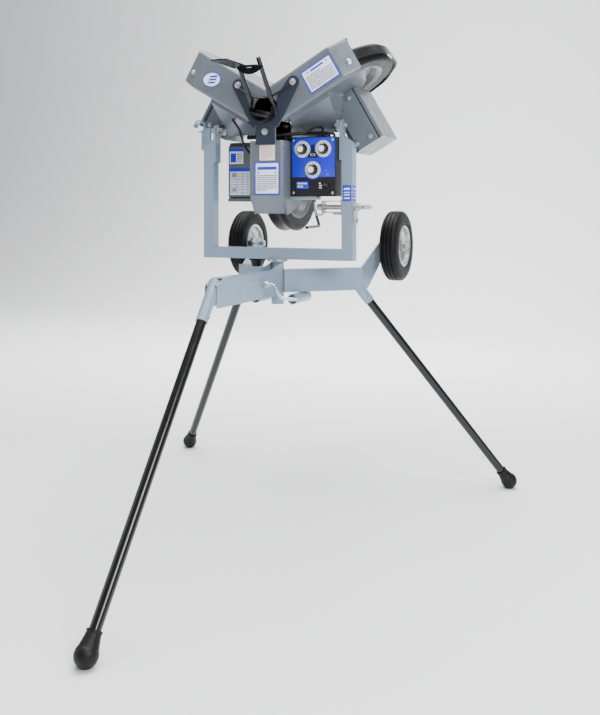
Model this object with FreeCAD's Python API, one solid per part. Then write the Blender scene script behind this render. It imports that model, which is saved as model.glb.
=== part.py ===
"""Three-wheel baseball pitching machine on a tripod base, all sizes in millimetres.

The model is built about the swivel axis and then moved so that the origin lies at the
middle of the footprint on the ground. +Z is up, +Y is the throwing direction, +X is to
the operator's right.
"""
import FreeCAD, Part
import math
import os

V = FreeCAD.Vector

# ---------------------------------------------------------------- driving dimensions
# Throwing head: three wheels round the ball's axis, which runs along Y.
BALL_AXIS_Z = 1354.0        # height of the ball's axis above the ground
WHEEL_RADIUS = 185.0        # crown of the throwing wheel's tread
WHEEL_CENTRE_R = 216.0      # wheel centre to ball axis
WHEEL_Y = 113.0             # throwing wheels' plane, ahead of the swivel axis
WHEEL_HALF_WIDTH = 32.0
TREAD_CROWN_X = 22.0        # the two crowns of the hollow tread
TREAD_DEPTH = 5.0
HOUSING_HALF_WIDTH = 62.0
HOUSING_WALL = 4.0
REAR_FACE_Y = -95.0
HOUSING_BEND_R = 281.0      # where the rear face turns forward
HOUSING_END_R = 345.0
HOUSING_END_Y = -60.0
HOUSING_FRONT_Y = 205.0
MOTOR_BOX_REAR_Y = 40.0
MOTOR_BOX_FRONT_Y = 200.0
MOTOR_RADIUS = 40.0
MOTOR_LENGTH = 106.0
SHAFT_RADIUS = 9.0
SHAFT_CLEARANCE = 0.05
PLATE_THICKNESS = 6.0
GUARD_GAP = 4.5             # strap to tread
GUARD_THICKNESS = 4.0
GUARD_WIDTH = 32.0
GUARD_BAR_RADIUS = 5.5
GUARD_FOOT_R = 50.0         # guards' inner ends, on the front plate
NECK_HALF_WIDTH = 36.0      # lower housing near the ball's axis
NECK_TOP_R = 100.0
WEB_BOTTOM_Z = 1285.0       # webs from the upper housings to the pivots
WEB_OUTER_X = 205.0

# Ball feed: two sloping rods, a rest plate and a half-round trough.
TROUGH_INNER = 38.5
TROUGH_OUTER = 41.5
ROD_X = 37.0                # the ball rests on the rods, so they stand closer than its width
ROD_RADIUS = 7.5
ROD_LOW = (-96.0, 1340.0)   # (y, z) that the rods aim at, inside the rear plate
ROD_TOP = (-215.0, 1484.0)
RIGHT_ROD_TOP = (-231.0, 1505.0)
REST_FAR_Y = -372.0         # the rest plate's far edge

# Speed controls.
BOX_X0, BOX_X1 = 66.0, 225.0
BOX_Y0, BOX_Y1 = -36.0, 30.0
BOX_Z0, BOX_Z1 = 1071.0, 1266.0
KNOB_X = (107.0, 181.0, 144.0)
KNOB_Z = (1226.0, 1226.0, 1158.0)
SWITCH_X, SWITCH_Z = 189.0, 1104.0
ROCKER_PIN_DEPTH = 4.0      # behind the panel's face
ROCKER_TILT = 8.0           # degrees, resting in its off position

# Yoke: a U of square tube that carries the head on two pivots.
YOKE_HALF_WIDTH = 274.0
TUBE = 38.0
TUBE_WALL = 2.5
YOKE_BOTTOM_Z = 861.0
UPRIGHT_INNER_TOP_Z = 1272.0
UPRIGHT_OUTER_TOP_Z = 1243.0
PIVOT_Z = 1304.0
PIVOT_RADIUS = 6.0
EAR_THICKNESS = 8.0
ADJUSTER_Z = 1036.0
BRACKET_REACH = 70.0
CLIP_CENTRE = (-297.0, 1318.0)   # (x, z) of the storage clip's ring
CLIP_RADIUS = 22.0
CLIP_WALL = 4.0
SCREW_RADIUS = 8.0

# Base: hub post, three arms, three legs, two transport wheels.
POST_RADIUS = 21.0
POST_BOTTOM_Z = 710.0
POST_TOP_Z = 852.0
ARM_TOP_Z = 826.0
ARM_BOTTOM_Z = 749.0
ARM_WIDTH = 38.0
SIDE_ARM_LENGTH = 300.0
SIDE_ARM_ANGLE = 40.8       # degrees from +X towards +Y
FRONT_ARM_LENGTH = 462.0
LEG_RADIUS = 15.0
LEG_WALL = 2.3
SOCKET_RADIUS = 17.8
SOCKET_GAP = 0.3
FOOT_RADIUS = 29.0
FRONT_SOCKET_TOP = V(0, -436, 820)
FOOT_SINK = 1.0             # depth of the flat worn on each foot
FRONT_FOOT = V(0, -1040, FOOT_RADIUS - FOOT_SINK)
SIDE_SOCKET_TOP = V(205, 178, 786)
SIDE_FOOT = V(676, 572, FOOT_RADIUS - FOOT_SINK)
FRONT_SOCKET_LENGTH = 135.0
SIDE_SOCKET_LENGTH = 100.0
TYRE_RADIUS = 127.5
TYRE_HALF_WIDTH = 33.0
RIM_RADIUS = 74.0
TRANSPORT_X = 302.0
TRANSPORT_Y = 387.0
TRANSPORT_Z = 894.0
AXLE_RADIUS = 8.0
BUTTON_RADIUS = 4.0
BUTTON_FROM_END = 18.0
LOCK_Y = -159.5             # the swivel lock's crank
LOCK_Z = 790.0
CRANK_RADIUS = 5.0

# The footprint's middle: the swivel axis stands this far ahead of or behind it.
SWIVEL_Y = -(FRONT_FOOT.y + SIDE_FOOT.y) / 2.0

UPPER_RIGHT, UPPER_LEFT, LOWER = 60.0, -60.0, 180.0   # turn about Y of each wheel module
# Each module's turn, its motor's side, and the motor box's length and inner and outer radius.
MODULES = {"lower": (LOWER, 1, 208.0, 92.0, 297.0),
           "upper_right": (UPPER_RIGHT, 1, 253.0, 158.0, 267.0),
           "upper_left": (UPPER_LEFT, -1, 185.0, 158.0, 267.0)}

parts = {}


# ---------------------------------------------------------------- shape helpers
def box(x0, x1, y0, y1, z0, z1):
    return Part.makeBox(x1 - x0, y1 - y0, z1 - z0, V(x0, y0, z0))


def rod(start, end, radius):
    along = end - start
    return Part.makeCylinder(radius, along.Length, start, along)


def tube(start, end, outer, inner):
    along = (end - start).normalize()
    return rod(start, end, outer).cut(rod(start - along, end + along, inner))


def prism(points, direction):
    """A flat outline, given as vectors, pushed along a vector."""
    wire = Part.makePolygon(list(points) + [points[0]])
    return Part.Face(wire).extrude(direction)


def side_prism(outline, x0, x1):
    """An outline in (y, z) pushed from x0 to x1."""
    return prism([V(x0, y, z) for y, z in outline], V(x1 - x0, 0, 0))


def front_prism(outline, y0, y1):
    """An outline in (x, z) pushed from y0 to y1."""
    return prism([V(x, y0, z) for x, z in outline], V(0, y1 - y0, 0))


def fuse(shapes):
    solid = shapes[0]
    for shape in shapes[1:]:
        solid = solid.fuse(shape)
    return solid.removeSplitter()


def turned(profile, centre, axis):
    """A closed profile of (along, radius) points turned about an axis through centre."""
    points = [V(radius, 0, along) for along, radius in profile]
    face = Part.Face(Part.makePolygon(points + [points[0]]))
    solid = face.revolve(V(0, 0, 0), V(0, 0, 1), 360)
    turn = FreeCAD.Rotation(V(0, 0, 1), axis)
    solid.Placement = FreeCAD.Placement(centre, turn)
    return solid


def hexagon(centre, axis, across, height):
    """A hexagonal head or nut standing on centre along axis."""
    corners = []
    for k in range(7):
        angle = math.radians(60 * k)
        corners.append(V(across / math.sqrt(3) * math.cos(angle),
                         across / math.sqrt(3) * math.sin(angle), 0))
    solid = Part.Face(Part.makePolygon(corners)).extrude(V(0, 0, height))
    solid.Placement = FreeCAD.Placement(centre, FreeCAD.Rotation(V(0, 0, 1), axis))
    return solid


def bolt(centre, axis, across=15.0, head=7.0, washer=1.8):
    """A hex head on its washer, seated on centre."""
    along = V(axis.x, axis.y, axis.z).normalize()
    disc = Part.makeCylinder(across * 0.72, washer, centre, along)
    return disc.fuse(hexagon(centre + along * washer, along, across, head))


def mirrored(shape):
    """The same piece on the other side of the machine."""
    return shape.mirror(V(0, 0, 0), V(1, 0, 0))


def bent_path(points, radii):
    """Straight runs joined by tangent arcs; radii has one entry per inner point."""
    edges = []
    here = points[0]
    for corner, after, radius in zip(points[1:-1], points[2:], radii):
        into = (corner - here).normalize()
        out = (after - corner).normalize()
        half_turn = into.getAngle(out) / 2
        trim = radius * math.tan(half_turn)
        start = corner - into * trim
        end = corner + out * trim
        inward = (out - into).normalize()
        middle = corner + inward * (radius / math.cos(half_turn) - radius)
        edges.append(Part.LineSegment(here, start).toShape())
        edges.append(Part.Arc(start, middle, end).toShape())
        here = end
    edges.append(Part.LineSegment(here, points[-1]).toShape())
    return Part.Wire(edges)


def bent_rod(points, radii, radius):
    circle = Part.Circle(points[0], points[1] - points[0], radius).toShape()
    return bent_path(points, radii).makePipeShell([Part.Wire([circle])], True, False, 2)


def in_module(shape, angle):
    """Turn a piece made for an upright module into its place round the ball's axis."""
    placed = shape.copy()
    placed.rotate(V(0, 0, 0), V(0, 1, 0), angle)
    placed.translate(V(0, 0, BALL_AXIS_Z))
    return placed


# ---------------------------------------------------------------- base
def hub_post():
    """The upright tube that the arms are welded to, and its top collar."""
    post = tube(V(0, 0, POST_BOTTOM_Z), V(0, 0, POST_TOP_Z), POST_RADIUS, 14.2)
    return post


def front_arm():
    """Folded channel that reaches forward to the front leg, raised at its hub end."""
    inner = ARM_WIDTH / 2 - 1
    outer = inner + 3
    end = -FRONT_ARM_LENGTH
    fold = [(-118, 829.5), (-190, 825), (-420, 830), (end, 812)]
    outline = [(0, 742), (0, POST_TOP_Z), (-94, 831), (-190, 825), (-420, 830),
               (end, 812), (end, 745)]
    sides = [side_prism(outline, x, x + 3) for x in (-outer, inner)]
    web = side_prism(fold + [(y, z - 3) for y, z in reversed(fold)], -outer, outer)
    arm = fuse(sides + [web])
    arm = arm.cut(rod(V(0, 0, POST_BOTTOM_Z), V(0, 0, POST_TOP_Z + 1), POST_RADIUS))
    rib_path = [V(outer, -186.5, 797), V(outer, -258, 801), V(outer, -312, 766.5),
                V(outer, -371, 769)]
    for start, after in zip(rib_path, rib_path[1:]):
        arm = arm.fuse(rod(start, after, 2.6).fuse(Part.makeSphere(2.6, after)))
    up = (FRONT_SOCKET_TOP - FRONT_FOOT).normalize()
    arm = arm.cut(rod(FRONT_SOCKET_TOP + up * 40, FRONT_FOOT, SOCKET_RADIUS))
    bore = CRANK_RADIUS + SHAFT_CLEARANCE
    arm = arm.cut(rod(V(0, LOCK_Y, LOCK_Z), V(40, LOCK_Y, LOCK_Z), bore))
    boss = tube(V(outer, LOCK_Y, LOCK_Z), V(outer + 8, LOCK_Y, LOCK_Z), 11, bore)
    return arm.fuse(boss)


def side_arm():
    """Rectangular tube from the post to a side leg's socket, drawn for the right side."""
    half = ARM_WIDTH / 2
    start = POST_RADIUS - 3
    outer = box(start, SIDE_ARM_LENGTH, -half, half, ARM_BOTTOM_Z, ARM_TOP_Z)
    hollow = box(start - 1, SIDE_ARM_LENGTH - 3, -half + 3, half - 3,
                 ARM_BOTTOM_Z + 3, ARM_TOP_Z - 3)
    arm = outer.cut(hollow)
    arm.rotate(V(0, 0, 0), V(0, 0, 1), SIDE_ARM_ANGLE)
    arm = arm.cut(rod(V(0, 0, 700), V(0, 0, 900), POST_RADIUS))
    arm = arm.cut(box(-60, 0, -100, 100, 700, 900))
    arm = arm.cut(rod(SIDE_SOCKET_TOP, SIDE_FOOT, SOCKET_RADIUS))
    return arm


def socket(top, foot, length):
    """Tube that a leg pushes into, with a hole for its snap button."""
    along = (foot - top).normalize()
    shape = tube(top, top + along * length, SOCKET_RADIUS, LEG_RADIUS + SOCKET_GAP)
    cap = rod(top, top + along * 3, LEG_RADIUS + SOCKET_GAP)
    button = top + along * (length - BUTTON_FROM_END)
    hole = rod(button, button + button_direction(along) * 40, BUTTON_RADIUS + 0.4)
    return shape.fuse(cap).cut(hole)


def button_direction(along):
    """Across the leg, level, and facing the operator's right."""
    level = along.cross(V(0, 0, 1))
    level = level.normalize()
    return level if level.x > 0 or level.y < 0 else -level


def leg(top, foot, length):
    along = (foot - top).normalize()
    shape = tube(top + along * 6, foot - along * 16, LEG_RADIUS, LEG_RADIUS - LEG_WALL)
    button = top + along * (length - BUTTON_FROM_END)
    hole = rod(button, button + button_direction(along) * 40, BUTTON_RADIUS + 0.25)
    return shape.cut(hole)


def snap_button(top, foot, length):
    """Domed pin on the leg's spring clip, standing out through leg and socket."""
    along = (foot - top).normalize()
    out = button_direction(along)
    button = top + along * (length - BUTTON_FROM_END)
    reach = SOCKET_RADIUS + 1.5
    pin = rod(button + out * 4, button + out * reach, BUTTON_RADIUS)
    dome = Part.makeSphere(BUTTON_RADIUS, button + out * reach)
    return pin.fuse(dome)


def foot_cap(top, foot):
    """Bell-shaped rubber foot on the leg's lower end."""
    up = (top - foot).normalize()
    sphere_r = FOOT_RADIUS
    profile = []
    for k in range(13):
        angle = math.radians(-90 + 10 * k)
        profile.append((sphere_r * math.sin(angle), sphere_r * math.cos(angle)))
    profile += [(34, 20.5), (46, 18.5), (48, 19.5), (53, 19.5), (53, LEG_RADIUS + 0.05),
                (15.9, LEG_RADIUS + 0.05), (15.9, 0)]
    profile[0] = (-sphere_r, 0)
    return turned(profile, foot, up)


def axle_bracket():
    """Upright plate from the right arm's end to the transport wheel's axle."""
    end = V(SIDE_ARM_LENGTH * math.cos(math.radians(SIDE_ARM_ANGLE)),
            SIDE_ARM_LENGTH * math.sin(math.radians(SIDE_ARM_ANGLE)), 0)
    tip = V(TRANSPORT_X - TYRE_HALF_WIDTH - 16, TRANSPORT_Y + 25, 0)
    along = (tip - end)
    reach = along.Length
    along = along.normalize()
    outline = [(2, ARM_BOTTOM_Z), (52, ARM_BOTTOM_Z), (reach - 4, 876), (reach, 892),
               (reach - 10, 912), (reach - 32, 920), (reach - 52, 914), (2, ARM_TOP_Z)]
    points = [end + along * d + V(0, 0, z) for d, z in outline]
    plate = prism(points, V(along.y, -along.x, 0) * 5)
    plate = plate.cut(rod(SIDE_SOCKET_TOP, SIDE_FOOT, SOCKET_RADIUS))
    return plate.cut(rod(V(200, TRANSPORT_Y, TRANSPORT_Z), V(300, TRANSPORT_Y, TRANSPORT_Z),
                         AXLE_RADIUS))


def axle():
    """Stub axle with a nut each side, for the right wheel."""
    pin = rod(V(232, TRANSPORT_Y, TRANSPORT_Z), V(345, TRANSPORT_Y, TRANSPORT_Z), AXLE_RADIUS)
    inner_nut = hexagon(V(234, TRANSPORT_Y, TRANSPORT_Z), V(1, 0, 0), 24, 9)
    spacer = rod(V(258, TRANSPORT_Y, TRANSPORT_Z), V(266, TRANSPORT_Y, TRANSPORT_Z), 12)
    outer_nut = hexagon(V(329, TRANSPORT_Y, TRANSPORT_Z), V(1, 0, 0), 24, 10)
    return fuse([pin, inner_nut, spacer, outer_nut])


def storage_tube(x):
    """Short tube under a side arm that holds a leg for transport."""
    return tube(V(x, -32, 730.8), V(x, 92, 730.8), 18, 15.6)


def transport_tyre():
    """Semi-pneumatic tyre with four ribs, drawn round its own axis."""
    w = TYRE_HALF_WIDTH
    r = TYRE_RADIUS
    side = [(-w + 3, RIM_RADIUS + 1), (-w, RIM_RADIUS + 10), (-w, r - 26), (-w + 3, r - 12),
            (-w + 9, r - 4), (-w + 13, r - 1)]
    tread = []
    groove_half = 1.6
    groove_deep = 4.0
    for x in (-13.5, 0.0, 13.5):
        crown = r - abs(x) * 0.03
        tread += [(x - groove_half, crown), (x - groove_half * 0.6, crown - groove_deep),
                  (x + groove_half * 0.6, crown - groove_deep), (x + groove_half, crown)]
    other = [(-x, rr) for x, rr in reversed(side)]
    profile = side + tread + other
    return turned(profile, V(TRANSPORT_X, TRANSPORT_Y, TRANSPORT_Z), V(1, 0, 0))


def transport_rim():
    """Two pressed steel dishes and their hub, drawn for the right wheel."""
    bore = AXLE_RADIUS + SHAFT_CLEARANCE
    profile = [(-26, bore), (-26, 20), (-6, 20), (-6, 52), (-15, 64), (-29, 66),
               (-32, RIM_RADIUS - 2), (-30, RIM_RADIUS + 0.6), (-26, RIM_RADIUS),
               (26, RIM_RADIUS), (30, RIM_RADIUS + 0.6), (32, RIM_RADIUS - 2), (29, 66),
               (15, 64), (6, 52), (6, 20), (26, 20), (26, bore)]
    return turned(profile, V(TRANSPORT_X, TRANSPORT_Y, TRANSPORT_Z), V(1, 0, 0))


def lock_crank():
    """Cranked screw on the front arm that clamps the swivel."""
    grip = V(138, LOCK_Y, 746)
    points = [V(14, LOCK_Y, LOCK_Z), V(56, LOCK_Y, LOCK_Z), V(88, LOCK_Y, 746), grip]
    return bent_rod(points, [16, 16], CRANK_RADIUS)


def make_base():
    parts["hub_post"] = hub_post()
    parts["front_arm"] = front_arm()
    parts["right_arm"] = side_arm()
    parts["left_arm"] = mirrored(side_arm())
    parts["axle_bracket_right"] = axle_bracket()
    parts["axle_bracket_left"] = mirrored(axle_bracket())
    parts["axles"] = Part.makeCompound([axle(), mirrored(axle())])
    parts["storage_tubes"] = Part.makeCompound([storage_tube(68), storage_tube(-68)])
    left_top = V(-SIDE_SOCKET_TOP.x, SIDE_SOCKET_TOP.y, SIDE_SOCKET_TOP.z)
    left_foot = V(-SIDE_FOOT.x, SIDE_FOOT.y, SIDE_FOOT.z)
    places = {"front": (FRONT_SOCKET_TOP, FRONT_FOOT, FRONT_SOCKET_LENGTH),
              "right": (SIDE_SOCKET_TOP, SIDE_FOOT, SIDE_SOCKET_LENGTH),
              "left": (left_top, left_foot, SIDE_SOCKET_LENGTH)}
    sockets = []
    feet = []
    below_ground = box(-1500, 1500, -1500, 1500, -50, 0)
    for name, (top, foot, length) in places.items():
        sockets.append(socket(top, foot, length))
        feet.append(foot_cap(top, foot).cut(below_ground))
        parts["leg_" + name] = leg(top, foot, length)
        parts["snap_button_" + name] = snap_button(top, foot, length)
    parts["leg_sockets"] = Part.makeCompound(sockets)
    parts["rubber_feet"] = Part.makeCompound(feet)
    parts["transport_tyre_right"] = transport_tyre()
    parts["transport_tyre_left"] = mirrored(transport_tyre())
    parts["transport_rim_right"] = transport_rim()
    parts["transport_rim_left"] = mirrored(transport_rim())
    parts["lock_crank"] = lock_crank()


# ---------------------------------------------------------------- yoke
def yoke_rail():
    half, inner = YOKE_HALF_WIDTH, YOKE_HALF_WIDTH - TUBE
    low, high = YOKE_BOTTOM_Z, YOKE_BOTTOM_Z + TUBE
    wall = TUBE_WALL
    outer = front_prism([(-half, low), (half, low), (inner, high), (-inner, high)],
                        -TUBE / 2, TUBE / 2)
    hollow = front_prism([(-half + wall, low + wall), (half - wall, low + wall),
                          (inner + wall, high - wall), (-inner - wall, high - wall)],
                         -TUBE / 2 + wall, TUBE / 2 - wall)
    return outer.cut(hollow)


def upright_block():
    """The right upright's outer shape, solid: mitred to the rail, its top sloping outward."""
    half, inner = YOKE_HALF_WIDTH, YOKE_HALF_WIDTH - TUBE
    return front_prism([(half, YOKE_BOTTOM_Z), (half, UPRIGHT_OUTER_TOP_Z),
                        (inner, UPRIGHT_INNER_TOP_Z), (inner, YOKE_BOTTOM_Z + TUBE)],
                       -TUBE / 2, TUBE / 2)


def yoke_upright():
    """Right upright: the block, hollow."""
    half, inner = YOKE_HALF_WIDTH, YOKE_HALF_WIDTH - TUBE
    low, high = YOKE_BOTTOM_Z, YOKE_BOTTOM_Z + TUBE
    wall = TUBE_WALL
    hollow = front_prism([(half - wall, low + wall), (half - wall, UPRIGHT_OUTER_TOP_Z - wall),
                          (inner + wall, UPRIGHT_INNER_TOP_Z - 2 * wall), (inner + wall, high - wall)],
                         -TUBE / 2 + wall, TUBE / 2 - wall)
    return upright_block().cut(hollow)


def yoke_ear():
    """Pivot plate inside the right upright."""
    x1 = YOKE_HALF_WIDTH - TUBE
    x0 = x1 - EAR_THICKNESS
    half = TUBE / 2
    plate = box(x0, x1, -half, half, 1190, PIVOT_Z)
    crown = rod(V(x0, 0, PIVOT_Z), V(x1, 0, PIVOT_Z), half)
    bore = rod(V(x0 - 1, 0, PIVOT_Z), V(x1 + 1, 0, PIVOT_Z), PIVOT_RADIUS + SHAFT_CLEARANCE)
    return plate.fuse(crown).removeSplitter().cut(bore)


def storage_clip():
    """Open ring on a small plate outside the left upright's top."""
    x, z = CLIP_CENTRE
    plate = box(-292, -256, -4, 4, 1235, 1312).cut(mirrored(upright_block()))
    ring = rod(V(x, -12, z), V(x, 12, z), CLIP_RADIUS)
    clip = plate.fuse(ring).cut(rod(V(x, -13, z), V(x, 13, z), CLIP_RADIUS - CLIP_WALL))
    mouth = prism([V(x, -13, z), V(x - 60, -13, z - 10), V(x - 60, -13, z - 60),
                   V(x - 10, -13, z - 60)], V(0, 26, 0))
    return fuse([clip.cut(mouth), bolt(V(-284, -4, 1270), V(0, -1, 0), 10, 5)])


def swivel_shaft():
    """Spindle under the rail that turns in the hub post."""
    flange = rod(V(0, 0, POST_TOP_Z + 1), V(0, 0, YOKE_BOTTOM_Z), 34)
    spindle = rod(V(0, 0, POST_BOTTOM_Z + 12), V(0, 0, POST_TOP_Z + 1), 14.2 - SHAFT_CLEARANCE)
    return flange.fuse(spindle)


def swivel_bumper():
    """Tapered rubber stop on its plate, under the rail's left half."""
    plate = box(-100, -46, -16, 16, 856, YOKE_BOTTOM_Z)
    cone = Part.makeCone(15, 20, 22, V(-80, 0, 834), V(0, 0, 1))
    return plate.fuse(cone)


def adjuster_bracket():
    """Zinc channel inside the right upright, with the hook that the tilt link hangs on."""
    x1 = YOKE_HALF_WIDTH - TUBE
    x0 = x1 - BRACKET_REACH
    low, high = ADJUSTER_Z - 19, ADJUSTER_Z + 21
    back = box(x1 - 3, x1, -18, 18, low - 3, high + 4)
    top = box(x0, x1 - 3, -18, 18, high - 3, high)
    bottom = box(x0, x1 - 3, -18, 18, low, low + 3)
    end = box(x0, x0 + 3, -18, 18, low, high)
    pad = box(x1 - 30, x1 - 3, -17, 17, low - 6, low)
    channel = fuse([back, top, bottom, end, pad])
    channel = channel.cut(rod(V(x0 - 5, 0, ADJUSTER_Z), V(x1 + 5, 0, ADJUSTER_Z),
                              SCREW_RADIUS + SHAFT_CLEARANCE))
    hook = bent_rod([V(x0 - 32, 0, ADJUSTER_Z + 18), V(x0 - 30, 0, ADJUSTER_Z - 26),
                     V(x0 - 2, 0, ADJUSTER_Z - 26), V(x0 + 2, 0, low + 3)], [11, 9], 3.0)
    return channel.fuse(hook)


def adjuster_plate():
    """Zinc plate outside the right upright that the adjuster's handle passes through."""
    x0 = YOKE_HALF_WIDTH
    plate = box(x0, x0 + 5, -19, 19, ADJUSTER_Z - 57, ADJUSTER_Z + 14)
    plate = plate.cut(rod(V(x0 - 2, 0, ADJUSTER_Z), V(x0 + 8, 0, ADJUSTER_Z),
                          SCREW_RADIUS + SHAFT_CLEARANCE))
    return plate.fuse(bolt(V(x0 + 5, 0, ADJUSTER_Z - 43), V(1, 0, 0), 13, 6))


def adjuster_handle():
    """Screw with its nut block and cross bar, which raises or lowers the head."""
    x0 = YOKE_HALF_WIDTH
    end = x0 - TUBE - BRACKET_REACH
    screw = rod(V(end - 16, 0, ADJUSTER_Z), V(x0 + 50, 0, ADJUSTER_Z), SCREW_RADIUS)
    collar = rod(V(x0 + 6, 0, ADJUSTER_Z), V(x0 + 18, 0, ADJUSTER_Z), 12)
    block = rod(V(end - 20, 0, ADJUSTER_Z), V(end - 2, 0, ADJUSTER_Z), 11)
    bar = rod(V(x0 + 44, -40, ADJUSTER_Z), V(x0 + 44, 40, ADJUSTER_Z), 5)
    return fuse([screw, collar, block, bar])


def make_yoke():
    parts["yoke_rail"] = yoke_rail()
    upright = yoke_upright()
    screw_hole = rod(V(200, 0, ADJUSTER_Z), V(300, 0, ADJUSTER_Z),
                     SCREW_RADIUS + SHAFT_CLEARANCE)
    parts["yoke_upright_right"] = upright.cut(screw_hole)
    parts["yoke_upright_left"] = mirrored(upright)
    parts["yoke_ears"] = Part.makeCompound([yoke_ear(), mirrored(yoke_ear()), storage_clip()])
    parts["swivel_shaft"] = swivel_shaft()
    parts["swivel_bumper"] = swivel_bumper()
    parts["adjuster_bracket"] = adjuster_bracket()
    parts["adjuster_plate"] = adjuster_plate()
    parts["adjuster_handle"] = adjuster_handle()


# ---------------------------------------------------------------- head
def wheel_housing(side):
    """Cast cover behind one wheel, for an upright module whose motor is on the given side."""
    half = HOUSING_HALF_WIDTH
    wall = HOUSING_WALL
    outline = [(REAR_FACE_Y, 0), (REAR_FACE_Y, HOUSING_BEND_R), (HOUSING_END_Y, HOUSING_END_R),
               (40, 312), (105, 272), (160, 200), (HOUSING_FRONT_Y, 150), (HOUSING_FRONT_Y, 0)]
    body = side_prism(outline, -half, half)
    rear_edges = []
    for edge in body.Edges:
        ends = [vertex.Point for vertex in edge.Vertexes]
        if all(p.y <= HOUSING_END_Y + 1 and abs(abs(p.x) - half) < 1 for p in ends):
            rear_edges.append(edge)
    body = body.makeFillet(12, rear_edges)
    cavity = side_prism([(REAR_FACE_Y + wall, -1), (REAR_FACE_Y + wall, HOUSING_BEND_R - 1),
                         (HOUSING_END_Y + wall + 1, HOUSING_END_R + 8), (40, HOUSING_END_R + 8),
                         (HOUSING_FRONT_Y + 1, HOUSING_END_R + 8), (HOUSING_FRONT_Y + 1, -1)],
                        -half + wall, half - wall)
    body = body.cut(cavity)
    slope = math.tan(math.radians(60))
    reach = 400.0
    for sign in (-1, 1):
        wedge = front_prism([(0, 0), (sign * reach * slope, reach), (sign * reach * slope, -10),
                             (0, -10)], REAR_FACE_Y - 1, HOUSING_FRONT_Y + 1)
        body = body.cut(wedge)
    body = body.cut(rod(V(0, REAR_FACE_Y - 1, 0), V(0, 300, 0), 45))
    opening = rod(V(side * 40, WHEEL_Y, WHEEL_CENTRE_R), V(side * 80, WHEEL_Y, WHEEL_CENTRE_R), 40)
    return body.cut(opening)


def lower_housing():
    """The lower wheel's cover: its inner end narrows to a neck behind the rear plate."""
    body = wheel_housing(1)
    for sign in (-1, 1):
        x0, x1 = sorted((sign * NECK_HALF_WIDTH, sign * (HOUSING_HALF_WIDTH + 5)))
        body = body.cut(box(x0, x1, REAR_FACE_Y - 5, -20, 0, NECK_TOP_R))
    return in_module(body, LOWER)


def module_point(r, t, y):
    """A point of the upper right module: r out from the ball's axis, t round it."""
    angle = math.radians(90 - UPPER_RIGHT)
    return V(r * math.cos(angle) - t * math.sin(angle), y,
             BALL_AXIS_Z + r * math.sin(angle) + t * math.cos(angle))


def upper_right_housing():
    """An upper wheel's cover with the cast web that runs down to the head's pivot."""
    half = HOUSING_HALF_WIDTH
    front_y = MOTOR_BOX_REAR_Y - 0.5
    rear_y = REAR_FACE_Y + 22
    rear = [module_point(48, -half + 1, rear_y), module_point(215, -half + 1, rear_y),
            module_point(205, -half - 13, rear_y), module_point(52, -half - 13, rear_y)]
    front = [module_point(48, -half + 1, front_y), module_point(230, -half + 1, front_y),
             V(WEB_OUTER_X, front_y, WEB_BOTTOM_Z), V(NECK_HALF_WIDTH + 2, front_y, WEB_BOTTOM_Z)]
    web = Part.makeLoft([Part.makePolygon(rear + rear[:1]), Part.makePolygon(front + front[:1])],
                        True, True)
    housing = in_module(wheel_housing(1), UPPER_RIGHT)
    inside = box(-half + 1, half - 1, REAR_FACE_Y, HOUSING_FRONT_Y, 0, 300)
    return housing.fuse(web.cut(in_module(inside, UPPER_RIGHT)))


def motor_housing(side, length, inner_r, outer_r):
    """Box over the motor, on one side of the wheel housing."""
    x0 = HOUSING_HALF_WIDTH
    chamfer = 16.0
    y0, y1, z0, z1 = MOTOR_BOX_REAR_Y, MOTOR_BOX_FRONT_Y, inner_r, outer_r
    outline = [(y0 + chamfer, z0), (y1 - chamfer, z0), (y1, z0 + chamfer), (y1, z1 - chamfer),
               (y1 - chamfer, z1), (y0 + chamfer, z1), (y0, z1 - chamfer), (y0, z0 + chamfer)]
    wall = 4.0
    hollow = box(x0 - 1, length - 5, y0 + wall + 4, y1 - wall - 4, z0 + wall + 4, z1 - wall - 4)
    shell = side_prism(outline, x0, length - 1).cut(hollow)
    lip_outline = [(y0 - 4, z1 - 9), (y0 - 4, z1 + 2), (y1, z1 + 2), (y1, z1 - 9)]
    shell = fuse([shell, side_prism(outline, length - 1, length),
                  side_prism(lip_outline, x0, length)]).cut(hollow)
    return shell if side > 0 else mirrored(shell)


def motor(side):
    """Direct-current motor on the housing's side wall."""
    x0 = side * HOUSING_HALF_WIDTH
    x1 = side * (HOUSING_HALF_WIDTH + MOTOR_LENGTH)
    body = rod(V(x0, WHEEL_Y, WHEEL_CENTRE_R), V(x1, WHEEL_Y, WHEEL_CENTRE_R), MOTOR_RADIUS)
    bore = rod(V(x0 - side, WHEEL_Y, WHEEL_CENTRE_R), V(x1, WHEEL_Y, WHEEL_CENTRE_R),
               SHAFT_RADIUS + SHAFT_CLEARANCE)
    return body.cut(bore)


def throw_tyre():
    """Moulded tyre with a hollow tread that fits the ball."""
    w, r = WHEEL_HALF_WIDTH, WHEEL_RADIUS
    crown = TREAD_CROWN_X
    inner = 142.0
    profile = [(-w, inner), (-w, r - 10), (-w + 2.5, r - 4), (-w + 6, r - 0.8), (-crown, r),
               (-crown + 4, r - 0.6), (-12, r - 2.4), (-6, r - TREAD_DEPTH + 0.6),
               (0, r - TREAD_DEPTH), (6, r - TREAD_DEPTH + 0.6), (12, r - 2.4),
               (crown - 4, r - 0.6), (crown, r), (w - 6, r - 0.8), (w - 2.5, r - 4), (w, r - 10),
               (w, inner)]
    return turned(profile, V(0, WHEEL_Y, WHEEL_CENTRE_R), V(1, 0, 0))


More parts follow.
